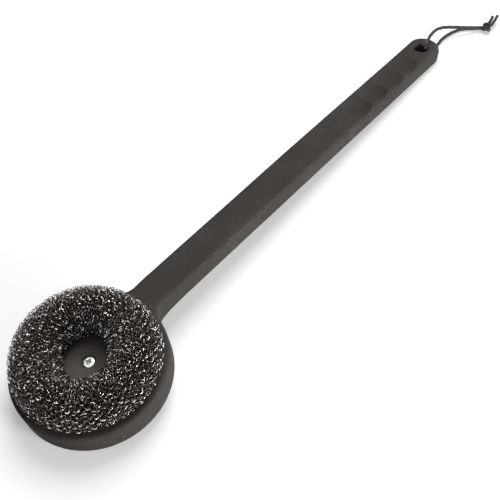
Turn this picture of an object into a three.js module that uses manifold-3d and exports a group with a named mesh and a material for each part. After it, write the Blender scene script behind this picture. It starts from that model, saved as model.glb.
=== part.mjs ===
import * as THREE from 'three';
import Module from 'manifold-3d';
import { mergeVertices } from 'three/addons/utils/BufferGeometryUtils.js';

const wasm = await Module();
wasm.setup();

// Driving sizes, in millimetres and degrees
const headRadius = 46.2;
const headThickness = 17;
const handleThickness = 14.4;
const tipThickness = 13;
const handleReach = 411.2;
const neckHalfWidth = 10.6;
const gripHalfWidth = 12.95;
const tipRadius = 12.9;
const neckFillet = 9.5;
const bendDegrees = 12.5;
const bendStart = 40;
const bendLength = 22;
const topEdgeRadius = 1.8;
const gripEdgeRadius = 4.8;
const backEdgeRadius = 1.6;
const grooveHalfWidth = 2.8;
const grooveDepth = 3.9;
const scallopCount = 4;
const scallopFirst = 288;
const scallopPitch = 24.3;
const scallopDepth = 3.4;
const scallopHalfWidth = 12.2;
const scallopOffset = -0.5;
const holeFromEnd = 19.2;
const holeRadius = 5.6;
const holeEdge = 1.2;
const fitGap = 0.3;
const padRadius = 42.4;
const padHeight = 21.8;
const padThroat = 14.6;
const throatOval = 1.2;
const throatTurn = 36;
const webThickness = 1.2;
const webHole = 4.6;
const plateRadius = 21.5;
const seatDepth = 5.2;
const seatMargin = 2.6;
const plateThickness = 3;
const screwHeadRadius = 4;
const screwHeadHeight = 2.3;
const screwMajor = 2;
const screwRoot = 1.6;
const screwPitch = 0.7;
const screwLength = 12;
const boreRadius = 2.3;
const insertRadius = 3.2;
const insertLength = 8;
const cordDiameter = 2.5;
const knotRadius = 4;

// Materials, as the photograph shows them
const charcoal = new THREE.MeshStandardMaterial({ color: 0x464241, roughness: 0.6, metalness: 0 });
const plateBlack = new THREE.MeshStandardMaterial({ color: 0x413e3d, roughness: 0.55, metalness: 0 });
const wireSteel = new THREE.MeshStandardMaterial({ color: 0x4a4846, roughness: 0.35, metalness: 1 });
const brightSteel = new THREE.MeshStandardMaterial({ color: 0xd9d9d6, roughness: 0.25, metalness: 1 });
const brass = new THREE.MeshStandardMaterial({ color: 0xb08d4a, roughness: 0.35, metalness: 1 });
const cordBlack = new THREE.MeshStandardMaterial({ color: 0x1c1a19, roughness: 0.7, metalness: 0 });

const bendAngle = THREE.MathUtils.degToRad(bendDegrees);
const bendRadius = bendLength / bendAngle;

// The head's frame: origin on its top face, x towards the grip, z out of the pad's side.
// Maps a point at reach s, height n over the top face, onto the handle that droops from the head.
function bend(s, y, n) {
  if (s <= bendStart) return new THREE.Vector3(s, y, n);
  const turn = Math.min((s - bendStart) / bendRadius, bendAngle);
  const rest = Math.max(s - bendStart - bendLength, 0);
  const r = bendRadius + n;
  const x = bendStart + r * Math.sin(turn) + rest * Math.cos(turn);
  const z = -bendRadius + r * Math.cos(turn) - rest * Math.sin(turn);
  return new THREE.Vector3(x, y, z);
}

function smooth(a, b, x) {
  const t = Math.min(Math.max((x - a) / (b - a), 0), 1);
  return t * t * (3 - 2 * t);
}

function solidOf(geometry) {
  const g = geometry.clone();
  g.deleteAttribute('normal');
  g.deleteAttribute('uv');
  const m = mergeVertices(g, 1e-4);
  const vertProperties = new Float32Array(m.attributes.position.array);
  const triVerts = new Uint32Array(m.index.array);
  return new wasm.Manifold(new wasm.Mesh({ numProp: 3, vertProperties, triVerts }));
}

function geometryOf(solid) {
  const m = solid.getMesh();
  const g = new THREE.BufferGeometry();
  g.setAttribute('position', new THREE.BufferAttribute(new Float32Array(m.vertProperties), 3));
  g.setIndex(new THREE.BufferAttribute(new Uint32Array(m.triVerts), 1));
  return g;
}

function gridGeometry(points, faces) {
  const g = new THREE.BufferGeometry();
  const flat = new Float32Array(points.length * 3);
  points.forEach((p, i) => p.toArray(flat, i * 3));
  g.setAttribute('position', new THREE.BufferAttribute(flat, 3));
  g.setIndex(faces);
  return g;
}

function turned(profile, segments) {
  const points = profile.map(([r, z]) => new THREE.Vector2(r, z));
  const g = new THREE.LatheGeometry(points, segments);
  g.rotateX(Math.PI / 2);
  return g;
}

// Plan outline of one side, from the head's outer end to the tip of the grip
const endCentre = handleReach - tipRadius;
const filletCentreX = Math.sqrt((headRadius + neckFillet) ** 2 - (neckHalfWidth + neckFillet) ** 2);
const filletAngle = Math.atan2(neckHalfWidth + neckFillet, filletCentreX);

function halfWidth(s) {
  const k = (s - filletCentreX) / (endCentre - filletCentreX);
  return neckHalfWidth + (gripHalfWidth - neckHalfWidth) * Math.min(Math.max(k, 0), 1);
}

function planOutline() {
  const out = [];
  const headSteps = 38;
  for (let i = 0; i <= headSteps; i += 1) {
    const a = Math.PI - (Math.PI - filletAngle) * i / headSteps;
    const dir = new THREE.Vector2(Math.cos(a), Math.sin(a));
    out.push({ p: dir.clone().multiplyScalar(headRadius), n: dir });
  }
  const filletSteps = 8;
  const from = filletAngle + Math.PI;
  const to = 1.5 * Math.PI;
  for (let i = 1; i <= filletSteps; i += 1) {
    const a = from + (to - from) * i / filletSteps;
    const dir = new THREE.Vector2(Math.cos(a), Math.sin(a));
    const c = new THREE.Vector2(filletCentreX, neckHalfWidth + neckFillet);
    out.push({ p: c.addScaledVector(dir, neckFillet), n: dir.clone().negate() });
  }
  const stops = [bendStart + bendLength * 0.8, bendStart + bendLength, 72, 80];
  for (let i = 1; i <= 6; i += 1) stops.push(80 + (endCentre - 80) * i / 7);
  stops.filter((s) => s > filletCentreX + 1).forEach((s) => {
    out.push({ p: new THREE.Vector2(s, halfWidth(s)), n: new THREE.Vector2(0, 1) });
  });
  const tipSteps = 12;
  for (let i = 0; i <= tipSteps; i += 1) {
    const a = Math.PI / 2 * (1 - i / tipSteps);
    const dir = new THREE.Vector2(Math.cos(a), Math.sin(a));
    const c = new THREE.Vector2(endCentre, gripHalfWidth - tipRadius);
    out.push({ p: c.addScaledVector(dir, tipRadius), n: dir });
  }
  out.push({ p: new THREE.Vector2(handleReach, 0), n: new THREE.Vector2(1, 0) });
  return out;
}

function depthAt(s) {
  const along = Math.min(Math.max((s - headRadius) / (handleReach - headRadius), 0), 1);
  const step = (handleThickness - headThickness) * smooth(headRadius - 5, headRadius + 25, s);
  return headThickness + step + (tipThickness - handleThickness) * along;
}

// Handle and head in one closed skin: edge rings round the plan outline, ladders across both faces
function handleBody() {
  const side = planOutline();
  const last = side.length - 1;
  const loop = [];
  side.forEach((q) => loop.push({ x: q.p.x, y: q.p.y, nx: q.n.x, ny: q.n.y }));
  for (let i = last - 1; i > 0; i -= 1) {
    const q = side[i];
    loop.push({ x: q.p.x, y: -q.p.y, nx: q.n.x, ny: -q.n.y });
  }
  const count = loop.length;
  const arc = 4;
  const points = [];
  const rings = [];
  function ring(inset, height) {
    const ids = loop.map((q) => {
      const d = inset(q.x);
      points.push(bend(q.x - q.nx * d, q.y - q.ny * d, height(q.x - q.nx * d)));
      return points.length - 1;
    });
    rings.push(ids);
  }
  const topRadius = (s) => topEdgeRadius + (gripEdgeRadius - topEdgeRadius) * smooth(200, 390, s);
  for (let i = 0; i <= arc; i += 1) {
    const a = Math.PI / 2 * i / arc;
    ring((s) => topRadius(s) * (1 - Math.sin(a)), (s) => -topRadius(s) * (1 - Math.cos(a)));
  }
  for (let i = arc; i >= 0; i -= 1) {
    const a = Math.PI / 2 * i / arc;
    const lift = backEdgeRadius * (1 - Math.cos(a));
    ring(() => backEdgeRadius * (1 - Math.sin(a)), (s) => -depthAt(s) + lift);
  }
  const faces = [];
  for (let k = 0; k + 1 < rings.length; k += 1) {
    for (let i = 0; i < count; i += 1) {
      const j = (i + 1) % count;
      faces.push(rings[k][i], rings[k][j], rings[k + 1][j]);
      faces.push(rings[k][i], rings[k + 1][j], rings[k + 1][i]);
    }
  }
  function ladder(ids, up) {
    for (let i = 0; i < last; i += 1) {
      const a = ids[i];
      const b = ids[i + 1];
      const c = ids[(count - i) % count];
      const d = ids[(count - i - 1) % count];
      const tris = [];
      if (c !== a) tris.push([a, c, b]);
      if (d !== b) tris.push([c, d, b]);
      tris.forEach((t) => faces.push(...(up ? t : [t[0], t[2], t[1]])));
    }
  }
  ladder(rings[0], true);
  ladder(rings[rings.length - 1], false);
  return solidOf(gridGeometry(points, faces));
}

// Places a geometry made in a flat local frame on the handle's top face at reach s
function onHandle(geometry, s) {
  const turn = s <= bendStart ? 0 : Math.min((s - bendStart) / bendRadius, bendAngle);
  geometry.rotateY(turn);
  const at = bend(s, 0, 0);
  geometry.translate(at.x, at.y, at.z);
  return geometry;
}

const holeReach = handleReach - holeFromEnd;
const webBottom = fitGap - seatDepth;
const plateBottom = webBottom + webThickness + fitGap;
const plateTop = plateBottom + plateThickness;
const seatZ = plateTop - screwHeadHeight;
const screwTip = seatZ + fitGap - screwLength;
const insertTop = -seatDepth - fitGap;
const seatRadius = plateRadius + seatMargin;

function handleSolid() {
  let body = handleBody();
  for (let i = 0; i < scallopCount; i += 1) {
    const rise = 8;
    const spread = Math.sqrt(1 - ((rise - scallopDepth) / rise) ** 2);
    const dip = new THREE.SphereGeometry(1, 36, 22);
    dip.rotateX(Math.PI / 2);
    dip.scale(scallopPitch * 0.5 / spread, scallopHalfWidth / spread, rise);
    dip.translate(0, scallopOffset, rise - scallopDepth);
    onHandle(dip, scallopFirst + i * scallopPitch);
    body = body.subtract(solidOf(dip));
  }
  const low = depthAt(holeReach);
  const bore = turned([
    [0, -low - 3], [holeRadius + holeEdge * 2, -low - 3], [holeRadius + holeEdge, -low],
    [holeRadius + holeEdge * 0.3, -low + holeEdge * 0.5], [holeRadius, -low + holeEdge * 1.4],
    [holeRadius, -holeEdge * 1.4], [holeRadius + holeEdge * 0.3, -holeEdge * 0.5],
    [holeRadius + holeEdge, 0], [holeRadius + holeEdge * 2, 3], [0, 3],
  ], 32);
  onHandle(bore, holeReach);
  body = body.subtract(solidOf(bore));
  const groove = new THREE.BoxGeometry(holeFromEnd + 8, grooveHalfWidth * 2, grooveDepth + 2);
  groove.translate((holeFromEnd + 8) / 2, 0, -low + grooveDepth / 2 - 1);
  onHandle(groove, holeReach);
  body = body.subtract(solidOf(groove));
  const wellRadius = insertRadius + fitGap;
  const wellFloor = Math.min(insertTop - insertLength, screwTip) - fitGap;
  const well = turned([
    [0, wellFloor], [wellRadius, wellFloor], [wellRadius, -seatDepth], [seatRadius - 1, -seatDepth],
    [seatRadius, -seatDepth + 1], [seatRadius + 1, 1], [0, 1],
  ], 56);
  body = body.subtract(solidOf(well));
  return body;
}

function insertSolid() {
  const z0 = insertTop - insertLength;
  const r = insertRadius;
  const profile = [
    [boreRadius, z0], [r - 0.4, z0], [r - 0.4, z0 + 0.6], [r, z0 + 1], [r, z0 + 3.6],
    [r - 0.5, z0 + 4], [r - 0.5, z0 + 5], [r, z0 + 5.4], [r, insertTop - 0.5],
    [r - 0.5, insertTop], [boreRadius, insertTop], [boreRadius, z0],
  ];
  return solidOf(turned(profile, 24));
}

function plateSolid() {
  const r = plateRadius;
  const bore = screwMajor + fitGap;
  const seat = screwHeadRadius + fitGap;
  const profile = [
    [bore, plateBottom], [r - 0.6, plateBottom], [r, plateBottom + 0.6], [r, plateTop - 1.2],
    [r - 0.35, plateTop - 0.35], [r - 1.2, plateTop], [seat + 0.3, plateTop], [seat, plateTop - 0.3],
    [seat, seatZ], [bore, seatZ], [bore, plateBottom],
  ];
  return solidOf(turned(profile, 56));
}

// Screw with a right-hand thread: one skin whose radius follows the helix, joined to a pan head
function screwSolid() {
  const sides = 12;
  const rowsPerTurn = 4;
  const neckZ = seatZ + fitGap;
  const threadTop = plateBottom - 0.6;
  const rows = Math.round((threadTop - screwTip) / screwPitch * rowsPerTurn);
  const points = [new THREE.Vector3(0, 0, screwTip)];
  const faces = [];
  const levels = [];
  for (let k = 0; k <= rows; k += 1) {
    const z = screwTip + (threadTop - screwTip) * k / rows;
    const runOut = 1 - smooth(threadTop - 0.5, threadTop, z);
    const taper = smooth(screwTip - 0.8, screwTip + 2, z) * runOut;
    const ids = [];
    for (let i = 0; i < sides; i += 1) {
      const a = 2 * Math.PI * i / sides;
      const phase = (z - screwTip) / screwPitch - i / sides;
      const wave = 1 - Math.abs(2 * (phase - Math.floor(phase)) - 1);
      const r = screwRoot * (0.75 + 0.25 * smooth(screwTip - 0.3, screwTip + 0.8, z));
      const rr = r + (screwMajor - screwRoot) * wave * taper;
      points.push(new THREE.Vector3(rr * Math.cos(a), rr * Math.sin(a), z));
      ids.push(points.length - 1);
    }
    levels.push(ids);
  }
  points.push(new THREE.Vector3(0, 0, neckZ + 0.5));
  const shank = [];
  for (let i = 0; i < sides; i += 1) {
    const a = 2 * Math.PI * i / sides;
    points.push(new THREE.Vector3(screwRoot * Math.cos(a), screwRoot * Math.sin(a), neckZ + 0.5));
    shank.push(points.length - 1);
  }
  const topId = shank[0] - 1;
  levels.push(shank);
  for (let i = 0; i < sides; i += 1) {
    const j = (i + 1) % sides;
    faces.push(0, levels[0][j], levels[0][i]);
    for (let k = 0; k + 1 < levels.length; k += 1) {
      faces.push(levels[k][i], levels[k][j], levels[k + 1][j]);
      faces.push(levels[k][i], levels[k + 1][j], levels[k + 1][i]);
    }
    faces.push(topId, shank[i], shank[j]);
  }
  const shaft = solidOf(gridGeometry(points, faces));
  const h = screwHeadHeight - fitGap;
  const r = screwHeadRadius;
  const head = solidOf(turned([
    [0, neckZ], [r - 0.15, neckZ], [r, neckZ + 0.2], [r, neckZ + h * 0.45], [r * 0.93, neckZ + h * 0.7],
    [r * 0.78, neckZ + h * 0.88], [r * 0.5, neckZ + h * 0.98], [0, neckZ + h],
  ], 32));
  let screw = shaft.add(head);
  for (const turn of [0.35, 0.35 + Math.PI / 2]) {
    const slot = new THREE.CylinderGeometry(2.9, 1.7, 1.5, 4, 1);
    slot.rotateX(Math.PI / 2);
    slot.rotateZ(Math.PI / 4);
    slot.scale(1, 0.28, 1);
    slot.rotateZ(turn);
    slot.translate(0, 0, neckZ + h - 0.6);
    screw = screw.subtract(solidOf(slot));
  }
  return screw;
}

// Scourer: a gathered doughnut whose inner web is held under the plate
function padGeometry() {
  const R = padRadius;
  const H = padHeight;
  const edge = plateRadius + fitGap + 0.2;
  const over = plateTop + fitGap + 0.2;
  const webTop = webBottom + webThickness;
  const throatAngle = THREE.MathUtils.degToRad(throatTurn);
  const profile = [
    [webHole, webBottom, 0], [13, webBottom, 0], [seatRadius - 1.5, webBottom, 0],
    [seatRadius - 0.6, webBottom + 1.2, 0], [seatRadius + 0.1, -0.3, 0],
    [seatRadius + 0.9, fitGap + 0.1, 0], [R * 0.75, fitGap, 0],
    [R * 0.88, fitGap + 0.4, 0.2], [R * 0.96, H * 0.11, 0.6], [R * 0.995, H * 0.23, 1],
    [R, H * 0.36, 1], [R * 0.985, H * 0.53, 1], [R * 0.94, H * 0.69, 1],
    [R * 0.87, H * 0.84, 1], [R * 0.78, H * 0.95, 1], [R * 0.69, H, 1],
    [R * 0.6, H * 0.965, 1], [R * 0.52, H * 0.88, 1, 0.2], [R * 0.455, H * 0.75, 0.9, 0.5],
    [padThroat * 1.16, H * 0.58, 0.7, 0.8], [padThroat * 1.05, H * 0.42, 0.5, 1],
    [padThroat, H * 0.27, 0.3, 1], [padThroat * 1.05, H * 0.13, 0.1, 0.9],
    [padThroat * 1.2, over + 0.4, 0, 0.6],
    [edge - 0.2, over, 0], [edge, over - 0.6, 0], [edge, webTop + 1, 0],
    [edge - 0.3, webTop, 0], [13, webTop, 0], [webHole, webTop, 0],
  ];
  const around = 96;
  const points = [];
  const faces = [];
  const rows = profile.length;
  for (let i = 0; i < around; i += 1) {
    const a = 2 * Math.PI * i / around;
    profile.forEach(([r, z, soft, oval = 0], k) => {
      const lump = 0.45 * Math.cos(24 * a + k * 0.9) + 0.3 * Math.sin(7 * a - k * 0.5) - 0.35;
      const mid = new THREE.Vector2(r - R * 0.69, z - H * 0.45).normalize();
      const rr = r + mid.x * lump * soft + oval * throatOval * Math.cos(2 * (a - throatAngle));
      const zz = z + mid.y * lump * soft;
      points.push(new THREE.Vector3(rr * Math.cos(a), rr * Math.sin(a), zz));
    });
  }
  for (let i = 0; i < around; i += 1) {
    const j = (i + 1) % around;
    for (let k = 0; k < rows; k += 1) {
      const m = (k + 1) % rows;
      faces.push(i * rows + k, j * rows + k, j * rows + m);
      faces.push(i * rows + k, j * rows + m, i * rows + m);
    }
  }
  return gridGeometry(points, faces);
}

// Cord: a loop through the hang hole, both strands meeting at a knot with two short tails.
// Points are offsets from the middle of the hole's upper rim, in the finished frame.
const knotAt = [73.9, -26.1, -9.5];
const cordRoute = [
  [71.4, -21.6, -10.1], [68, -18.1, -9.7], [62.8, -13.7, -8.6], [56.1, -9, -6.8], [48.8, -4.3, -4.6],
  [40, -0.3, -1.8], [30.3, 1.4, 0.6], [24, 1.4, 1.4], [18.4, 0.9, 1.9], [13.4, 0, 2.1],
  [9.1, -0.9, 2], [6, -1.7, 1.75], [3.9, -2.3, 0.7], [2.6, -2.7, -1.4], [2, -2.9, -4],
  [1.8, -2.8, -6.8], [2.2, -2.3, -9.2], [3.8, -1.4, -11.3], [6.4, -1, -12.1], [10, -1, -12.2],
  [14, -1.2, -12.2], [21, -1.8, -12.2], [29.4, -2.4, -12.2], [38.2, -1.8, -12.2],
  [48.3, -2.9, -12.2], [58.1, -6, -12.2], [63.8, -9.5, -12.2], [67.8, -13.9, -12.2],
  [71.3, -18, -12.2], [74.2, -21.4, -12.2],
];
const tailRoutes = {
  cord_tail_a: [[78.2, -24.6, -9], [81.9, -25, -9], [86.3, -24.5, -8.5], [90, -23.9, -7.8]],
  cord_tail_b: [[78.1, -27.6, -9.4], [81.9, -27.8, -9.3], [88.4, -27.4, -8.7], [93.7, -26.8, -8]],
};

function tube(points, diameter, steps) {
  const curve = new THREE.CatmullRomCurve3(points, false, 'centripetal');
  const shape = new THREE.Shape();
  const sides = 8;
  for (let i = 0; i < sides; i += 1) {
    const a = 2 * Math.PI * (i + 0.5) / sides;
    const p = [diameter / 2 * Math.cos(a), diameter / 2 * Math.sin(a)];
    if (i === 0) shape.moveTo(...p);
    else shape.lineTo(...p);
  }
  shape.closePath();
  return new THREE.ExtrudeGeometry(shape, { steps, bevelEnabled: false, extrudePath: curve });
}

function knotGeometry() {
  const g = new THREE.SphereGeometry(knotRadius, 20, 14);
  const at = g.attributes.position;
  for (let i = 0; i < at.count; i += 1) {
    const v = new THREE.Vector3().fromBufferAttribute(at, i);
    const around = Math.atan2(v.z, v.x);
    const fade = Math.hypot(v.x, v.z) / knotRadius;
    const k = 0.92 + 0.08 * Math.cos(3 * around + 1.4 * v.y) * fade;
    at.setXYZ(i, v.x * k, v.y * k, v.z * k);
  }
  return g;
}

const group = new THREE.Group();
group.name = 'grill_brush';
const settled = [];

function addNode(name, geometry, material) {
  geometry.deleteAttribute('uv');
  geometry.computeVertexNormals();
  const mesh = new THREE.Mesh(geometry, material);
  mesh.name = name;
  group.add(mesh);
  settled.push(mesh);
  return mesh;
}

addNode('handle', geometryOf(handleSolid()), charcoal);
addNode('thread_insert', geometryOf(insertSolid()), brass);
addNode('clamp_plate', geometryOf(plateSolid()), plateBlack);
addNode('clamp_screw', geometryOf(screwSolid()), brightSteel);
addNode('scourer_pad', padGeometry(), wireSteel);

// The brush lies on the head's outer rim and on the tip of the grip, tipped about the Y axis
const rim = new THREE.Vector3(-(headRadius - backEdgeRadius), 0, -headThickness);
const heelReach = handleReach - backEdgeRadius;
const heel = bend(heelReach, 0, -depthAt(heelReach));
const restAngle = Math.atan2(rim.z - heel.z, heel.x - rim.x);
const box = new THREE.Box3();
settled.forEach((mesh) => {
  mesh.geometry.rotateY(-restAngle);
  mesh.geometry.computeBoundingBox();
  box.union(mesh.geometry.boundingBox);
});
const middle = box.getCenter(new THREE.Vector3());
const shift = new THREE.Vector3(-middle.x, -middle.y, -box.min.z);
settled.forEach((mesh) => mesh.geometry.translate(shift.x, shift.y, shift.z));

function place(point) {
  return point.applyAxisAngle(new THREE.Vector3(0, 1, 0), -restAngle).add(shift);
}

const holeTop = place(bend(holeReach, 0, 0));

function atHole(route) {
  return route.map(([x, y, z]) => new THREE.Vector3(x, y, z).add(holeTop));
}

function closedMesh(geometry) {
  geometry.deleteAttribute('normal');
  geometry.deleteAttribute('uv');
  return mergeVertices(geometry, 1e-4);
}

addNode('hang_cord', closedMesh(tube(atHole(cordRoute), cordDiameter, 72)), cordBlack);
const knot = closedMesh(knotGeometry());
knot.translate(...atHole([knotAt])[0].toArray());
addNode('cord_knot', knot, cordBlack);
Object.entries(tailRoutes).forEach(([name, route]) => {
  addNode(name, closedMesh(tube(atHole(route), cordDiameter, 6)), cordBlack);
});

export default group;
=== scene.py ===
import math
import bmesh
import bpy
from mathutils import Matrix, Vector


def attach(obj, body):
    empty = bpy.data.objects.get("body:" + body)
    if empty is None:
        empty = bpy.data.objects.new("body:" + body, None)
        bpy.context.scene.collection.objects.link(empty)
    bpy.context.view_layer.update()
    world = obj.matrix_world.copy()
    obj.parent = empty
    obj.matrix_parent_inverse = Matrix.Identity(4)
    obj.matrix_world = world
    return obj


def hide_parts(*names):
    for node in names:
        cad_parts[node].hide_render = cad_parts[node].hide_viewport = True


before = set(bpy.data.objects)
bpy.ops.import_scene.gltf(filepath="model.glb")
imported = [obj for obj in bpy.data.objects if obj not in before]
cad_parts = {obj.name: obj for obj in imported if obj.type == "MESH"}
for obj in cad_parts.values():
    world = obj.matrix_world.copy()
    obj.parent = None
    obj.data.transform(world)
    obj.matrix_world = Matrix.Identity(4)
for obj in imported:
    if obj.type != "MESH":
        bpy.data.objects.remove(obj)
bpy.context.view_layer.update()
collection = bpy.context.scene.collection

# where the head sits: middle of its top face, tipped with the brush
headPlace = {
    "middle": Vector((-0.182265, 0.0, 0.024055)),
    "tip": math.radians(9.39863),
}

cameraSettings = {
    "place": (-0.335385, -0.22220, 0.406528),
    "right": (0.591408, -0.806360, 0.004394),
    "up": (0.602499, 0.445500, 0.662212),
    "forward": (0.535939, 0.388990, -0.749304),
    "lens": 58.7146,
    "sensor": 36.0,
    "nearest": 0.01,
}


def makeCamera(s):
    data = bpy.data.cameras.new("photoCamera")
    data.sensor_width = s["sensor"]
    data.lens = s["lens"]
    data.clip_start = s["nearest"]
    camera = bpy.data.objects.new("photoCamera", data)
    collection.objects.link(camera)
    back = -Vector(s["forward"])
    columns = Matrix((s["right"], s["up"], back)).transposed()
    camera.matrix_world = Matrix.Translation(s["place"]) @ columns.to_4x4()
    bpy.context.scene.camera = camera


makeCamera(cameraSettings)
print("camera set")


def linked(name, mesh):
    obj = bpy.data.objects.new(name, mesh)
    collection.objects.link(obj)
    return obj


# materials, each with its own pattern on Object coordinates or an attribute

def newMaterial(name):
    material = bpy.data.materials.new(name)
    material.use_nodes = True
    tree = material.node_tree
    return material, tree, tree.nodes["Principled BSDF"]


def wire(tree, value, socket):
    if hasattr(value, "is_output"):
        tree.links.new(value, socket)
    else:
        socket.default_value = value


def objectCoords(tree):
    return tree.nodes.new("ShaderNodeTexCoord").outputs["Object"]


def noise(tree, coords, scale, detail, rough=0.55):
    node = tree.nodes.new("ShaderNodeTexNoise")
    node.inputs["Scale"].default_value = scale
    node.inputs["Detail"].default_value = detail
    node.inputs["Roughness"].default_value = rough
    tree.links.new(coords, node.inputs["Vector"])
    return node.outputs["Fac"]


def ramp(tree, value, stops):
    node = tree.nodes.new("ShaderNodeValToRGB")
    marks = node.color_ramp.elements
    while len(marks) < len(stops):
        marks.new(0.5)
    for mark, (place, colour) in zip(marks, stops):
        mark.position = place
        mark.color = (*colour, 1.0)
    tree.links.new(value, node.inputs["Fac"])
    return node.outputs["Color"]


def spread(tree, value, low, high):
    node = tree.nodes.new("ShaderNodeMapRange")
    node.inputs["To Min"].default_value = low
    node.inputs["To Max"].default_value = high
    tree.links.new(value, node.inputs["Value"])
    return node.outputs["Result"]


def mathNode(tree, operation, *values):
    node = tree.nodes.new("ShaderNodeMath")
    node.operation = operation
    for value, socket in zip(values, node.inputs):
        wire(tree, value, socket)
    return node.outputs[0]


def bump(tree, height, distance, strength):
    node = tree.nodes.new("ShaderNodeBump")
    node.inputs["Distance"].default_value = distance
    node.inputs["Strength"].default_value = strength
    tree.links.new(height, node.inputs["Height"])
    return node.outputs["Normal"]


plasticSettings = {
    "cloudScale": 38.0,
    "cloudDetail": 4.0,
    "speckScale": 1100.0,
    "speckDetail": 2.0,
    "speckShare": 1.3,
    "sheenGritShare": 3.4,
    "grainDepth": 0.00008,
    # how much lighter the painted highlight's colour is than the light stop
    "sheenGain": 1.9,
    "stops": (0.3, 0.7, 1.0),
}


def mouldedPlastic(name, dark, light, roughness, grain, gloss, s=plasticSettings):
    material, tree, shader = newMaterial(name)
    coords = objectCoords(tree)
    cloud = noise(tree, coords, s["cloudScale"], s["cloudDetail"])
    speck = noise(tree, coords, s["speckScale"], s["speckDetail"])
    off = mathNode(tree, "SUBTRACT", speck, 0.5)
    mixed = mathNode(tree, "MULTIPLY_ADD", off, s["speckShare"], cloud)
    # painted highlight: rounded upper edges and steep walls show more of the grain, its specks
    # pushed to a lighter colour for the edge highlight and the grazing light on the walls
    edgeSheen = tree.nodes.new("ShaderNodeAttribute")
    edgeSheen.attribute_name = "edgeSheen"
    sheenGrit = mathNode(tree, "MULTIPLY", off, s["sheenGritShare"])
    mixed = mathNode(tree, "MULTIPLY_ADD", sheenGrit, edgeSheen.outputs["Fac"], mixed)
    sheenLit = tuple(v * s["sheenGain"] for v in light)
    stops = list(zip(s["stops"], (dark, light, sheenLit)))
    tree.links.new(ramp(tree, mixed, stops), shader.inputs["Base Color"])
    tree.links.new(spread(tree, cloud, *roughness), shader.inputs["Roughness"])
    tree.links.new(bump(tree, speck, s["grainDepth"], grain), shader.inputs["Normal"])
    shader.inputs["Specular IOR Level"].default_value = gloss
    return material


metalSettings = {"scale": 600.0, "detail": 3.0, "stops": (0.3, 0.7), "roughSwing": 0.2}


def brightMetal(name, dark, light, rough, s=metalSettings):
    material, tree, shader = newMaterial(name)
    cloud = noise(tree, objectCoords(tree), s["scale"], s["detail"])
    stops = list(zip(s["stops"], (dark, light)))
    tree.links.new(ramp(tree, cloud, stops), shader.inputs["Base Color"])
    low, high = rough * (1 - s["roughSwing"]), rough * (1 + s["roughSwing"])
    tree.links.new(spread(tree, cloud, low, high), shader.inputs["Roughness"])
    shader.inputs["Metallic"].default_value = 1.0
    return material


wireSettings = {
    "detail": 2.0,
    "crestGlintShare": 0.19,
    "middleShare": 0.09,
    "stops": (0.45, 0.575, 0.6),
    "roughSwing": 0.3,
}


# the wire's tone is painted light: the dark base colour stands for the shade among the wires, and
# the light stops are painted glints
def knitWire(name, dark, light, rough, grain=850.0, s=wireSettings):
    material, tree, shader = newMaterial(name)
    cloud = noise(tree, objectCoords(tree), grain, s["detail"])
    # painted highlight: the crests of the loops are painted brighter than their sides, standing
    # for the light they catch
    crestGlint = tree.nodes.new("ShaderNodeAttribute")
    crestGlint.attribute_name = "crestGlint"
    cloud = mathNode(tree, "MULTIPLY_ADD", crestGlint.outputs["Fac"], s["crestGlintShare"], cloud)
    middle = tuple(d + (v - d) * s["middleShare"] for d, v in zip(dark, light))
    paintedGlints = list(zip(s["stops"], (dark, middle, light)))
    tree.links.new(ramp(tree, cloud, paintedGlints), shader.inputs["Base Color"])
    low, high = rough * (1 - s["roughSwing"]), rough * (1 + s["roughSwing"])
    tree.links.new(spread(tree, cloud, low, high), shader.inputs["Roughness"])
    shader.inputs["Metallic"].default_value = 1.0
    return material


waxSettings = {
    "scale": 900.0,
    "detail": 3.0,
    "stops": (0.4, 0.8),
    "roughness": (0.35, 0.6),
    "fibreDepth": 0.0001,
    "fibre": 0.3,
    "gloss": 0.3,
}


def waxedCord(name, dark, light, s=waxSettings):
    material, tree, shader = newMaterial(name)
    cloud = noise(tree, objectCoords(tree), s["scale"], s["detail"])
    stops = list(zip(s["stops"], (dark, light)))
    tree.links.new(ramp(tree, cloud, stops), shader.inputs["Base Color"])
    tree.links.new(spread(tree, cloud, *s["roughness"]), shader.inputs["Roughness"])
    fibres = bump(tree, cloud, s["fibreDepth"], s["fibre"])
    tree.links.new(fibres, shader.inputs["Normal"])
    shader.inputs["Specular IOR Level"].default_value = s["gloss"]
    return material


charcoal = mouldedPlastic("charcoalMoulding", (0.052, 0.0462, 0.044), (0.064, 0.057, 0.0543),
                          roughness=(0.5, 0.6), grain=0.35, gloss=0.012)
# painted light: the plate's black is written lighter than the handle's, making up for the
# scourer's shade over it
plateBlackPaintedLight = mouldedPlastic("plateBlackPaintedLight", (0.114, 0.103, 0.097), (0.126, 0.114, 0.107),
                            roughness=(0.5, 0.58), grain=0.2, gloss=0.06)
screwSteel = brightMetal("screwSteel", (0.72, 0.72, 0.70), (0.86, 0.86, 0.84), rough=0.24)
# painted shade: a darker copy of the screw steel for the cross recess
recessShadeSteel = brightMetal("recessShadeSteel", (0.36, 0.36, 0.355), (0.46, 0.46, 0.45), rough=0.5)
insertBrass = brightMetal("insertBrass", (0.40, 0.24, 0.06), (0.48, 0.30, 0.08), rough=0.32)
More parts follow.
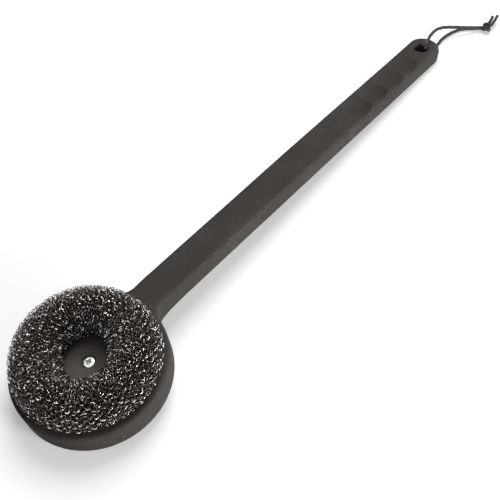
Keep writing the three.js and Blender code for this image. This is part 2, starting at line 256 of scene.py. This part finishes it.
# lit and shaded copies of one steel: the outer layer is lit, the deeper layers and the core
# beneath are painted darker as painted shade
steelKnit = knitWire("steelKnit", (0.064, 0.054, 0.049), (1.0, 0.98, 0.95),
                     rough=0.15, grain=440.0)
steelHalfShade = knitWire("steelHalfShade", (0.060, 0.050, 0.045), (0.9, 0.86, 0.82),
                    rough=0.25, grain=580.0)
steelShaded = knitWire("steelShaded", (0.026, 0.022, 0.020), (0.28, 0.25, 0.23), rough=0.35)
knitShadeBlack = knitWire("knitShadeBlack", (0.014, 0.0122, 0.011), (0.024, 0.021, 0.019), rough=0.6)
knitShadeLevels = {"bright": steelKnit, "dim": steelHalfShade, "shaded": steelShaded}
cordBlack = waxedCord("cordBlack", (0.008, 0.0074, 0.0072), (0.056, 0.052, 0.049))
print("materials made")

# cord: the route of the solid, in millimetres from the middle of the hang hole's upper rim
millimetre = 0.001
cordSettings = {
    "holeTop": (0.208638, 0.0, 0.013939),
    "diameter": 0.0028,
    "plies": 3,
    "layLength": 0.0075,
    "plyDepth": 0.07,
    "sides": 18,
    "stepsPerPoint": 8,
    "splitAt": 15,
    "route": [
        (71.4, -21.6, -10.1), (68, -18.1, -9.7), (62.8, -13.7, -8.6), (56.1, -9, -6.8),
        (48.8, -4.3, -4.6), (40, -0.3, -1.8), (30.3, 1.4, 0.6), (24, 1.4, 1.4),
        (18.4, 0.9, 1.9), (13.4, 0, 2.1), (9.1, -0.9, 2), (6, -1.7, 1.75),
        (3.9, -2.3, 0.7), (2.6, -2.7, -1.4), (2, -2.9, -4), (1.8, -2.8, -6.8),
        (2.2, -2.3, -9.2), (3.8, -1.4, -11.3), (6.4, -1, -12.1), (10, -1, -12.2),
        (14, -1.2, -12.2), (21, -1.8, -12.2), (29.4, -2.4, -12.2), (38.2, -1.8, -12.2),
        (48.3, -2.9, -12.2), (58.1, -6, -12.2), (63.8, -9.5, -12.2), (67.8, -13.9, -12.2),
        (71.3, -18, -12.2), (74.2, -21.4, -12.2),
    ],
    "tails": {
        "cordTailA": [(78.2, -24.6, -9), (81.9, -25, -9), (86.3, -24.5, -8.5), (90, -23.9, -7.8)],
        "cordTailB": [(78.1, -27.6, -9.4), (81.9, -27.8, -9.3), (88.4, -27.4, -8.7),
                      (93.7, -26.8, -8)],
    },
    "knotAt": (73.9, -26.1, -9.5),
    "knotTurn": 1.14,
    "knotWidth": 0.9,
    "knotDepth": 2.3,
    "knotThick": 0.0015,
    "knotReach": 0.6,
    "knotSteps": 72,
}


def routePoints(points, origin):
    return [Vector(origin) + Vector(p) * millimetre for p in points]


def flowing(points, steps):
    # a smooth curve through the points, paced by the root of each gap, like the solid's tube
    least = 1e-9
    first = points[0] * 2 - points[1]
    last = points[-1] * 2 - points[-2]
    padded = [first] + list(points) + [last]
    out = []
    for a, b, c, d in zip(padded, padded[1:], padded[2:], padded[3:]):
        t1 = max((b - a).length, least) ** 0.5
        t2 = t1 + max((c - b).length, least) ** 0.5
        t3 = t2 + max((d - c).length, least) ** 0.5
        for k in range(steps):
            t = t1 + (t2 - t1) * k / steps
            ab = a * ((t1 - t) / t1) + b * (t / t1)
            bc = b * ((t2 - t) / (t2 - t1)) + c * ((t - t1) / (t2 - t1))
            cd = c * ((t3 - t) / (t3 - t2)) + d * ((t - t2) / (t3 - t2))
            abc = ab * ((t2 - t) / t2) + bc * (t / t2)
            bcd = bc * ((t3 - t) / (t3 - t1)) + cd * ((t - t1) / (t3 - t1))
            out.append(abc * ((t2 - t) / (t2 - t1)) + bcd * ((t - t1) / (t2 - t1)))
    out.append(points[-1].copy())
    return out


def twistedTube(name, path, s, closed=False, radius=None):
    # a tube whose radius follows the twist of its plies
    radius = radius or s["diameter"] / 2
    sides = s["sides"]
    count = len(path)
    work = bmesh.new()
    rings = []
    normal = None
    run = 0.0
    for i, p in enumerate(path):
        ahead = path[(i + 1) % count] if closed else path[min(i + 1, count - 1)]
        behind = path[i - 1] if closed else path[max(i - 1, 0)]
        along = (ahead - behind).normalized()
        if normal is None:
            normal = along.orthogonal().normalized()
        normal = (normal - along * normal.dot(along)).normalized()
        across = along.cross(normal)
        if i:
            run += (p - path[i - 1]).length
        ring = []
        for k in range(sides):
            a = 2 * math.pi * k / sides
            ply = math.cos(s["plies"] * a - 2 * math.pi * run / s["layLength"])
            r = radius * (1 - s["plyDepth"] + s["plyDepth"] * ply)
            ring.append(work.verts.new(p + (normal * math.cos(a) + across * math.sin(a)) * r))
        rings.append(ring)
    pairs = list(zip(rings, rings[1:]))
    if closed:
        pairs.append((rings[-1], rings[0]))
    for near, far in pairs:
        for k in range(sides):
            m = (k + 1) % sides
            work.faces.new((near[k], near[m], far[m], far[k]))
    if not closed:
        for ring, p in ((rings[0][::-1], path[0]), (rings[-1], path[-1])):
            middle = work.verts.new(p)
            for k in range(sides):
                work.faces.new((ring[k], ring[(k + 1) % sides], middle))
    for face in work.faces:
        face.smooth = True
    mesh = bpy.data.meshes.new(name)
    work.to_mesh(mesh)
    work.free()
    mesh.materials.append(cordBlack)
    return linked(name, mesh)


def knotPath(s):
    # an overhand turn pulled tight, its axis along the strands
    centre = routePoints([s["knotAt"]], s["holeTop"])[0]
    turn = Matrix.Rotation(-s["knotTurn"], 3, "Z") @ Matrix.Rotation(math.pi / 2, 3, "Y")
    out = []
    steps = s["knotSteps"]
    for i in range(steps):
        t = 2 * math.pi * i / steps
        flat = Vector((math.sin(t) + 2 * math.sin(2 * t), math.cos(t) - 2 * math.cos(2 * t), 0))
        p = flat * (s["knotWidth"] * millimetre)
        p.z = -math.sin(3 * t) * s["knotDepth"] * millimetre
        out.append(centre + turn @ p)
    return out


def lengthOf(path):
    return sum((b - a).length for a, b in zip(path, path[1:]))


def intoKnot(path, middle, s):
    # the strand's last few millimetres, hidden in the turns of the knot
    start = path[-1]
    steps = s["stepsPerPoint"]
    return path + [start.lerp(middle, s["knotReach"] * k / steps) for k in range(1, steps + 1)]


def makeCord(s):
    fine = flowing(routePoints(s["route"], s["holeTop"]), s["stepsPerPoint"])
    split = s["splitAt"] * s["stepsPerPoint"]
    middle = routePoints([s["knotAt"]], s["holeTop"])[0]
    overPath = intoKnot(fine[:split + 1][::-1], middle, s)
    underPath = intoKnot(fine[split:], middle, s)
    over = twistedTube("cordOver", overPath, s)
    under = twistedTube("cordUnder", underPath, s)
    knot = twistedTube("cordKnot", knotPath(s), s, closed=True, radius=s["knotThick"])
    tails = {}
    for name, points in s["tails"].items():
        path = flowing(routePoints(points, s["holeTop"]), s["stepsPerPoint"])
        tails[name] = twistedTube(name, path, s)
    for piece in (over, under, knot, *tails.values()):
        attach(piece, "handle")
    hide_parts("hang_cord")
    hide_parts("hang_cord")
    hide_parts("cord_knot")
    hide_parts("cord_tail_a")
    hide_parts("cord_tail_b")
    print("cord laid", round(lengthOf(overPath) + lengthOf(underPath), 4))


makeCord(cordSettings)


# rigid pieces: merged copies of the solids with soft moulded edges

def evaluatedMesh(obj):
    graph = bpy.context.evaluated_depsgraph_get()
    return bpy.data.meshes.new_from_object(obj.evaluated_get(graph), depsgraph=graph)


mergeGap = 2e-6


def mergedMesh(node):
    work = bmesh.new()
    work.from_mesh(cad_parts[node].data)
    bmesh.ops.remove_doubles(work, verts=work.verts, dist=mergeGap)
    mesh = bpy.data.meshes.new(node + "Copy")
    work.to_mesh(mesh)
    work.free()
    return mesh


# painted highlight mask: where the normal's upward share says edge or wall, and how far it fades
# by the head
handleSettings = {
    "voxel": 0.00075,
    "smoothing": 3,
    "softness": 0.5,
    "sheenLean": 0.6,
    "sheenReach": 0.27,
    "wallLean": 0.45,
    "wallSheen": 0.5,
    "sheenFrom": -0.14,
    "sheenFade": 0.03,
    "headSheen": 0.3,
}


def paintEdgeSheen(mesh, s):
    # painted highlight: 1 on the rounded upper edges, part of that on the walls, 0 on flat faces
    values = []
    for vertex in mesh.vertices:
        lean = vertex.normal.z
        edge = 1.0 - abs(lean - s["sheenLean"]) / s["sheenReach"]
        wall = min((s["wallLean"] - lean) / s["sheenReach"], 1.0) * s["wallSheen"]
        grip = min(max((vertex.co.x - s["sheenFrom"]) / s["sheenFade"], s["headSheen"]), 1.0)
        values.append(max(edge, wall, 0.0) * grip)
    mesh.attributes.new("edgeSheen", "FLOAT", "POINT").data.foreach_set("value", values)


def makeHandle(s):
    holder = linked("handleHolder", mergedMesh("handle"))
    remesh = holder.modifiers.new("skin", "REMESH")
    remesh.mode = "VOXEL"
    remesh.voxel_size = s["voxel"]
    soften = holder.modifiers.new("soften", "SMOOTH")
    soften.factor = s["softness"]
    soften.iterations = s["smoothing"]
    mesh = evaluatedMesh(holder)
    bpy.data.objects.remove(holder)
    mesh.name = "handleMoulding"
    mesh.materials.clear()
    mesh.materials.append(charcoal)
    mesh.polygons.foreach_set("use_smooth", [True] * len(mesh.polygons))
    paintEdgeSheen(mesh, s)
    piece = linked("handleMoulding", mesh)
    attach(piece, "handle")
    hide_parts("handle")
    print("handle", len(mesh.polygons), "faces")


makeHandle(handleSettings)


def makeSmoothCopy(node, name, body, material, sharpOver):
    mesh = mergedMesh(node)
    mesh.name = name
    mesh.materials.clear()
    mesh.materials.append(material)
    mesh.polygons.foreach_set("use_smooth", [True] * len(mesh.polygons))
    mesh.set_sharp_from_angle(angle=math.radians(sharpOver))
    piece = linked(name, mesh)
    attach(piece, body)
    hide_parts(node)


# painted shade: the driver's cross, faces inside this radius and deeper than the head's dome,
# gets a darker steel
recessShadeSettings = {
    "radius": 0.0026,
    "top": -0.0004,
    "dome": 0.00028,
    "fall": 0.02,
    "bottom": -0.0024,
}


def paintRecessShade(name, s):
    mesh = bpy.data.objects[name].data
    mesh.materials.append(recessShadeSteel)
    turn = Matrix.Rotation(headPlace["tip"], 3, "Y")
    for face in mesh.polygons:
        at = turn @ (face.center - headPlace["middle"])
        across = math.hypot(at.x, at.y)
        dome = s["top"] - s["dome"] - s["fall"] * across
        if across < s["radius"] and s["bottom"] < at.z < dome:
            face.material_index = 1


makeSmoothCopy("clamp_plate", "clampPlate", "clamp", plateBlackPaintedLight, sharpOver=35)
makeSmoothCopy("clamp_screw", "clampScrew", "screw", screwSteel, sharpOver=32)
paintRecessShade("clampScrew", recessShadeSettings)
makeSmoothCopy("thread_insert", "threadInsert", "handle", insertBrass,
               sharpOver=35)
print("plate, screw and insert dressed")


# scourer: courses of knitted flat wire, laid round a doughnut by Geometry Nodes

scourerSettings = {
    "outline": [
        (20.4, 0.6), (17.2, 1.4), (15.3, 3.2), (14.8, 5.9), (15.5, 9.2), (17.2, 12.8),
        (19.9, 16.2), (22.8, 19.0), (26.0, 20.7), (29.4, 21.3), (33.0, 20.3), (36.4, 18.0),
        (39.1, 15.0), (40.9, 11.6), (41.9, 8.0), (42.3, 4.8), (41.9, 2.4), (39.5, 1.0),
        (34.0, 0.8),
    ],
    "throatOval": 0.0012,
    "throatTurn": math.radians(36),
    "layers": [
        {"name": "scourerKnitOuter", "stitches": 44, "courses": 15, "lift": 0.0, "seed": 3,
         "width": 0.00027, "samples": 24, "shadeLevel": "bright"},
        {"name": "scourerKnitMiddle", "stitches": 52, "courses": 20, "lift": -0.0011, "seed": 7,
         "width": 0.00020, "samples": 20, "shadeLevel": "dim"},
        {"name": "scourerKnitInner", "stitches": 48, "courses": 19, "lift": -0.0022, "seed": 11,
         "width": 0.00022, "samples": 18, "shadeLevel": "shaded"},
    ],
    "wireFlat": 0.75,
    "loopHeight": 0.85,
    "loopLean": 0.95,
    "loopDepth": 0.0012,
    "wander": 0.0022,
    "tangle": 0.0030,
    "jitter": 0.0008,
    "outlineSteps": 4,
    "coreLift": -0.0032,
    "coreLow": 0.6,
    "coreSides": 120,
    "coreSwells": [(0.3, 9, 0.4, 0.0), (0.25, 23, -0.7, math.pi / 2)],
}


def vectorNode(tree, operation, *values):
    node = tree.nodes.new("ShaderNodeVectorMath")
    node.operation = operation
    for value, socket in zip(values, node.inputs):
        wire(tree, value, socket)
    return node.outputs[0]


def combined(tree, x, y, z):
    node = tree.nodes.new("ShaderNodeCombineXYZ")
    for value, socket in zip((x, y, z), node.inputs):
        wire(tree, value, socket)
    return node.outputs[0]


def parted(tree, vector):
    node = tree.nodes.new("ShaderNodeSeparateXYZ")
    tree.links.new(vector, node.inputs[0])
    return node.outputs


# the throat is oval inside the first radius and round outside the second
throatReach = (0.0165, 0.0245)
# towards the outer rim the loops lie calmer, as shares of the outline's length
calmRim = {"start": 0.5, "full": 0.72, "share": 0.15}
# noise scales of the three disturbances, and how narrow a loop's painted crest glint is
noiseScales = {"Wander": 75.0, "Tangle": 190.0, "Jitter": 420.0}
crestCut = 0.62
wireSides = 3

knitInputs = {
    "Stitches": ("NodeSocketInt", 90),
    "Courses": ("NodeSocketInt", 32),
    "Samples": ("NodeSocketInt", 10),
    "Wire Width": ("NodeSocketFloat", 0.0003),
    "Wire Flat": ("NodeSocketFloat", 0.5),
    "Loop Height": ("NodeSocketFloat", 0.9),
    "Loop Lean": ("NodeSocketFloat", 0.8),
    "Loop Depth": ("NodeSocketFloat", 0.0004),
    "Lift": ("NodeSocketFloat", 0.0),
    "Wander": ("NodeSocketFloat", 0.002),
    "Tangle": ("NodeSocketFloat", 0.002),
    "Jitter": ("NodeSocketFloat", 0.001),
    "Seed": ("NodeSocketFloat", 1.0),
    "Throat Oval": ("NodeSocketFloat", 0.0),
    "Throat Turn": ("NodeSocketFloat", 0.0),
    "Tip": ("NodeSocketVector", (0.0, 0.0, 0.0)),
    "Place": ("NodeSocketVector", (0.0, 0.0, 0.0)),
    "Finish": ("NodeSocketMaterial", None),
}


def noiseVector(tree, place, scale, seed):
    # a vector between -0.5 and 0.5 on each axis
    node = tree.nodes.new("ShaderNodeTexNoise")
    node.noise_dimensions = "4D"
    node.inputs["Scale"].default_value = scale
    node.inputs["Detail"].default_value = 1.0
    tree.links.new(place, node.inputs["Vector"])
    tree.links.new(seed, node.inputs["W"])
    return vectorNode(tree, "SUBTRACT", node.outputs["Color"], (0.5, 0.5, 0.5))


def ringPoint(tree, profile, factor, angle, lift, given):
    # a point of the doughnut: along the outline, round the axis, lifted off the surface
    sample = tree.nodes.new("GeometryNodeSampleCurve")
    sample.mode = "FACTOR"
    tree.links.new(profile, sample.inputs["Curves"])
    tree.links.new(factor, sample.inputs["Factor"])
    at = parted(tree, sample.outputs["Position"])
    along = parted(tree, sample.outputs["Tangent"])
    radius = mathNode(tree, "MULTIPLY_ADD", mathNode(tree, "MULTIPLY", along["Z"], -1.0), lift,
                      at["X"])
    height = mathNode(tree, "MULTIPLY_ADD", along["X"], lift, at["Z"])
    inside = spread(tree, at["X"], 1.0, 0.0)
    inside.node.inputs["From Min"].default_value = throatReach[0]
    inside.node.inputs["From Max"].default_value = throatReach[1]
    turned = mathNode(tree, "SUBTRACT", angle, given["Throat Turn"])
    wave = mathNode(tree, "COSINE", mathNode(tree, "MULTIPLY", turned, 2.0))
    swell = mathNode(tree, "MULTIPLY", mathNode(tree, "MULTIPLY", wave, inside),
                     given["Throat Oval"])
    radius = mathNode(tree, "ADD", radius, swell)
    x = mathNode(tree, "MULTIPLY", radius, mathNode(tree, "COSINE", angle))
    y = mathNode(tree, "MULTIPLY", radius, mathNode(tree, "SINE", angle))
    return combined(tree, x, y, height)


def knitTree():
    tree = bpy.data.node_groups.new("knittedCourses", "GeometryNodeTree")
    face = tree.interface
    face.new_socket(name="Geometry", in_out="INPUT", socket_type="NodeSocketGeometry")
    for label, (kind, value) in knitInputs.items():
        socket = face.new_socket(name=label, in_out="INPUT", socket_type=kind)
        if value is not None:
            socket.default_value = value
    face.new_socket(name="Geometry", in_out="OUTPUT", socket_type="NodeSocketGeometry")
    given = tree.nodes.new("NodeGroupInput").outputs
    outlet = tree.nodes.new("NodeGroupOutput")

    outline = tree.nodes.new("GeometryNodeMeshToCurve")
    tree.links.new(given["Geometry"], outline.inputs["Mesh"])
    profile = outline.outputs["Curve"]

    # one closed strand for each course
    perRing = mathNode(tree, "MULTIPLY", given["Stitches"], given["Samples"])
    strand = tree.nodes.new("GeometryNodeCurvePrimitiveCircle")
    tree.links.new(perRing, strand.inputs["Resolution"])
    spots = tree.nodes.new("GeometryNodePoints")
    tree.links.new(given["Courses"], spots.inputs["Count"])
    copies = tree.nodes.new("GeometryNodeInstanceOnPoints")
    tree.links.new(spots.outputs[0], copies.inputs["Points"])
    tree.links.new(strand.outputs["Curve"], copies.inputs["Instance"])
    strands = tree.nodes.new("GeometryNodeRealizeInstances")
    tree.links.new(copies.outputs[0], strands.inputs[0])

    index = tree.nodes.new("GeometryNodeInputIndex").outputs[0]
    course = mathNode(tree, "FLOOR", mathNode(tree, "DIVIDE", index, perRing))
    step = mathNode(tree, "SUBTRACT", index, mathNode(tree, "MULTIPLY", course, perRing))
    phase = mathNode(tree, "MULTIPLY", mathNode(tree, "DIVIDE", step, given["Samples"]),
                     2 * math.pi)
    double = mathNode(tree, "MULTIPLY", phase, 2.0)

    # the knitted loop: sideways lean, height across the courses, depth in and out
    sideways = mathNode(tree, "MULTIPLY_ADD", mathNode(tree, "SINE", double),
                        given["Loop Lean"], phase)
    angle = mathNode(tree, "DIVIDE", sideways, given["Stitches"])
    rise = mathNode(tree, "MULTIPLY_ADD", mathNode(tree, "COSINE", phase),
                    given["Loop Height"], mathNode(tree, "ADD", course, 0.5))
    factor = mathNode(tree, "DIVIDE", rise, given["Courses"])
    depth = mathNode(tree, "MULTIPLY_ADD", mathNode(tree, "COSINE", double),
                     given["Loop Depth"], given["Lift"])

    # wander of whole rows, tangle of neighbouring loops and jitter along the wire
    place = ringPoint(tree, profile, factor, angle, depth, given)
    plain = place
    calm = spread(tree, factor, 1.0, calmRim["share"])
    calm.node.inputs["From Min"].default_value = calmRim["start"]
    calm.node.inputs["From Max"].default_value = calmRim["full"]
    for label, scale in noiseScales.items():
        push = vectorNode(tree, "SCALE", noiseVector(tree, plain, scale, given["Seed"]))
        tree.links.new(mathNode(tree, "MULTIPLY", given[label], calm), push.node.inputs["Scale"])
        place = vectorNode(tree, "ADD", place, push)
    moved = tree.nodes.new("GeometryNodeSetPosition")
    tree.links.new(strands.outputs[0], moved.inputs["Geometry"])
    tree.links.new(place, moved.inputs["Position"])
    # how near each point is to a crest, for the wire's painted glints
    kept = tree.nodes.new("GeometryNodeStoreNamedAttribute")
    kept.inputs["Name"].default_value = "crestGlint"
    ordered = mathNode(tree, "SUBTRACT", 1.0, calm)
    above = mathNode(tree, "SUBTRACT", mathNode(tree, "COSINE", double), crestCut)
    crestGlint = mathNode(tree, "MULTIPLY", above, ordered)
    tree.links.new(moved.outputs[0], kept.inputs["Geometry"])
    tree.links.new(crestGlint, kept.inputs["Value"])

    section = tree.nodes.new("GeometryNodeCurvePrimitiveCircle")
    section.inputs["Resolution"].default_value = wireSides
    tree.links.new(given["Wire Width"], section.inputs["Radius"])
    flat = tree.nodes.new("GeometryNodeTransform")
    tree.links.new(section.outputs["Curve"], flat.inputs["Geometry"])
    tree.links.new(combined(tree, 1.0, given["Wire Flat"], 1.0), flat.inputs["Scale"])
    body = tree.nodes.new("GeometryNodeCurveToMesh")
    tree.links.new(kept.outputs[0], body.inputs["Curve"])
    tree.links.new(flat.outputs[0], body.inputs["Profile Curve"])

    seat = tree.nodes.new("GeometryNodeTransform")
    tree.links.new(body.outputs[0], seat.inputs["Geometry"])
    tree.links.new(given["Tip"], seat.inputs["Rotation"])
    tree.links.new(given["Place"], seat.inputs["Translation"])
    real = tree.nodes.new("GeometryNodeRealizeInstances")
    tree.links.new(seat.outputs[0], real.inputs[0])
    shadeLevel = tree.nodes.new("GeometryNodeSetMaterial")
    tree.links.new(real.outputs[0], shadeLevel.inputs["Geometry"])
    tree.links.new(given["Finish"], shadeLevel.inputs["Material"])
    tree.links.new(shadeLevel.outputs[0], outlet.inputs[0])
    return tree


def setInputs(modifier, values):
    for item in modifier.node_group.interface.items_tree:
        if item.in_out == "INPUT" and item.name in values:
            modifier[item.identifier] = values[item.name]


def outlineMesh(points):
    mesh = bpy.data.meshes.new("scourerOutline")
    verts = [(r * millimetre, 0.0, z * millimetre) for r, z in points]
    mesh.from_pydata(verts, [(i, i + 1) for i in range(len(verts) - 1)], [])
    return mesh


def smoothOutline(points, steps):
    return [(p.x, p.z) for p in flowing([Vector((r, 0, z)) for r, z in points], steps)]


def makeCore(outline, s):
    # the inner turns of the rolled knit, packed too tight to see between, in a near-black steel
    # as painted shade
    around = s["coreSides"]
    low = s["coreLow"]
    work = bmesh.new()
    rings = []
    points = [Vector(p) for p in outline]
    inner = []
    for i, p in enumerate(points):
        along = points[min(i + 1, len(points) - 1)] - points[max(i - 1, 0)]
        normal = Vector((-along.y, along.x)).normalized()
        inner.append(p + normal * s["coreLift"] / millimetre)
    inner = [Vector((inner[0].x, low))] + [Vector((q.x, max(q.y, low))) for q in inner]
    inner.append(Vector((inner[-1].x, low)))
    roundFrom, ovalTo = (reach / millimetre for reach in reversed(throatReach))
    for i in range(around):
        a = 2 * math.pi * i / around
        ring = []
        for k, q in enumerate(inner):
            swell = sum(size * math.sin(waves * a + k * shift + start)
                        for size, waves, shift, start in s["coreSwells"])
            r = q.x + swell * (0 < k < len(inner) - 1)
            inside = min(max((roundFrom - r) / (roundFrom - ovalTo), 0.0), 1.0)
            r += s["throatOval"] / millimetre * inside * math.cos(2 * (a - s["throatTurn"]))
            place = Vector((r * math.cos(a), r * math.sin(a), q.y)) * millimetre
            ring.append(work.verts.new(place))
        rings.append(ring)
    for i in range(around):
        near, far = rings[i], rings[(i + 1) % around]
        rows = len(near)
        for k in range(rows):
            m = (k + 1) % rows
            work.faces.new((near[k], far[k], far[m], near[m]))
    bmesh.ops.remove_doubles(work, verts=work.verts, dist=mergeGap / 2)
    bmesh.ops.recalc_face_normals(work, faces=work.faces)
    for face in work.faces:
        face.smooth = True
    place = Matrix.Translation(headPlace["middle"]) @ Matrix.Rotation(-headPlace["tip"], 4, "Y")
    bmesh.ops.transform(work, matrix=place, verts=work.verts)
    mesh = bpy.data.meshes.new("scourerCore")
    work.to_mesh(mesh)
    work.free()
    mesh.materials.append(knitShadeBlack)
    return linked("scourerCore", mesh)


def makeScourer(s):
    outline = smoothOutline(s["outline"], s["outlineSteps"])
    tree = knitTree()
    pieces = [makeCore(outline, s)]
    for layer in s["layers"]:
        holder = linked("scourerHolder", outlineMesh(outline))
        knit = holder.modifiers.new("knit", "NODES")
        knit.node_group = tree
        setInputs(knit, {
            "Stitches": layer["stitches"],
            "Courses": layer["courses"],
            "Samples": layer["samples"],
            "Wire Width": layer["width"],
            "Wire Flat": s["wireFlat"],
            "Loop Height": s["loopHeight"],
            "Loop Lean": s["loopLean"],
            "Loop Depth": s["loopDepth"],
            "Lift": layer["lift"],
            "Wander": s["wander"],
            "Tangle": s["tangle"],
            "Jitter": s["jitter"],
            "Seed": float(layer["seed"]),
            "Throat Oval": s["throatOval"],
            "Throat Turn": s["throatTurn"],
            "Tip": (0.0, -headPlace["tip"], 0.0),
            "Place": tuple(headPlace["middle"]),
            "Finish": knitShadeLevels[layer["shadeLevel"]],
        })
        mesh = evaluatedMesh(holder)
        holder.modifiers.remove(knit)
        bpy.data.objects.remove(holder)
        mesh.name = layer["name"]
        pieces.append(linked(layer["name"], mesh))
        print(layer["name"], len(mesh.polygons) * 2, "triangles")
    for piece in pieces:
        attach(piece, "clamp")
        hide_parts("scourer_pad")


makeScourer(scourerSettings)

# floor, light and backdrop

lightSettings = {
    "aim": (-0.05, 0.0, 0.0),
    "key": {"place": (0.55, 0.27, 1.19), "size": 1.0, "power": 13.5},
    "fill": {"place": (-0.10, -1.25, 0.25), "size": 0.45, "power": 15.6},
    "ambient": 0.18,
    "floorColour": (0.9, 0.9, 0.9, 1.0),
    "floorGlow": 0.32,
    "floorHalf": 1.1,
}


def seenDirectly(tree):
    # 1 for the camera's, mirrored and see-through rays, else 0
    path = tree.nodes.new("ShaderNodeLightPath").outputs
    both = mathNode(tree, "MAXIMUM", path["Is Camera Ray"], path["Is Glossy Ray"])
    return mathNode(tree, "MAXIMUM", both, path["Is Transmission Ray"])


def makeStage(s):
    world = bpy.data.worlds.new("studio")
    bpy.context.scene.world = world
    world.use_nodes = True
    tree = world.node_tree
    back = tree.nodes["Background"]
    back.inputs["Color"].default_value = (1.0, 1.0, 1.0, 1.0)
    tree.links.new(spread(tree, seenDirectly(tree), s["ambient"], 1.0), back.inputs["Strength"])

    for name in ("key", "fill"):
        lamp = bpy.data.lights.new(name + "Light", "AREA")
        lamp.shape = "DISK"
        lamp.size = s[name]["size"]
        lamp.energy = s[name]["power"]
        obj = bpy.data.objects.new(name + "Light", lamp)
        collection.objects.link(obj)
        obj.location = s[name]["place"]
        aim = Vector(s["aim"]) - obj.location
        obj.rotation_euler = aim.to_track_quat("-Z", "Y").to_euler()

    mesh = bpy.data.meshes.new("floor")
    half = s["floorHalf"]
    mesh.from_pydata([(-half, -half, 0), (half, -half, 0), (half, half, 0), (-half, half, 0)],
                     [], [(0, 1, 2, 3)])
    floor = linked("floor", mesh)
    material, tree, shader = newMaterial("paleFloor")
    out = tree.nodes["Material Output"]
    tree.nodes.remove(shader)
    matt = tree.nodes.new("ShaderNodeBsdfDiffuse")
    matt.inputs["Color"].default_value = s["floorColour"]
    glow = tree.nodes.new("ShaderNodeEmission")
    tree.links.new(spread(tree, seenDirectly(tree), 0.0, s["floorGlow"]), glow.inputs["Strength"])
    both = tree.nodes.new("ShaderNodeAddShader")
    tree.links.new(matt.outputs[0], both.inputs[0])
    tree.links.new(glow.outputs[0], both.inputs[1])
    tree.links.new(both.outputs[0], out.inputs["Surface"])
    mesh.materials.append(material)


makeStage(lightSettings)
bpy.context.scene.view_settings.view_transform = "Standard"
print("stage set")
